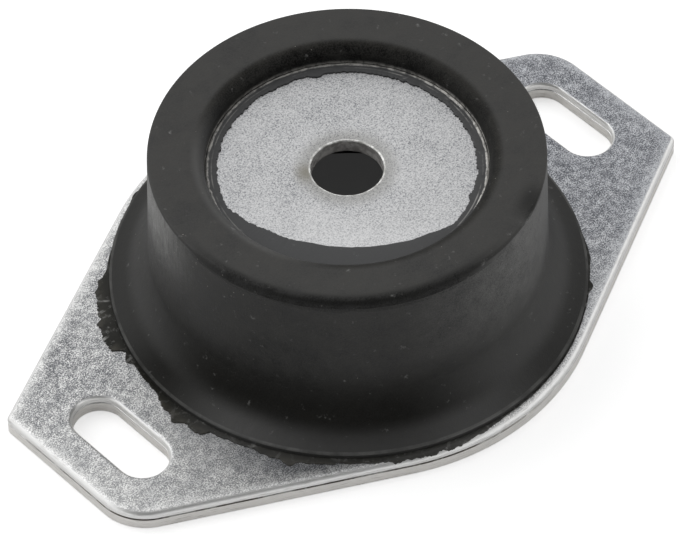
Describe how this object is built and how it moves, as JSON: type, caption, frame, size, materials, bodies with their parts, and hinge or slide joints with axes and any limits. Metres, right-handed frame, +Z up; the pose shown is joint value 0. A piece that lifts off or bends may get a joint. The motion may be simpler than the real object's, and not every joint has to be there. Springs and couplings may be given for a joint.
{
  "type": "engine mount",
  "caption": "Bonded rubber-to-metal engine mount: slotted steel base plate, moulded rubber cone and a steel top disc with a central bolt hole.",
  "frame": {"origin": "middle of the base plate's underside, under the centre of the bolt hole", "axes": "+X through the middles of the two slots, +Z up along the bolt hole's axis"},
  "size_m": [0.1556, 0.1048, 0.0425],
  "materials": {
    "plated_steel": "dull zinc plating, speckled, with bright rolled edges",
    "rubber": "matt black moulded natural rubber with thin flash",
    "bare_steel": "fine-grained pale plated steel"
  },
  "bodies": {
    "root": {"base_plate": "plated_steel", "rubber_body": "rubber", "top_disc": "bare_steel"}
  },
  "joints": []
}
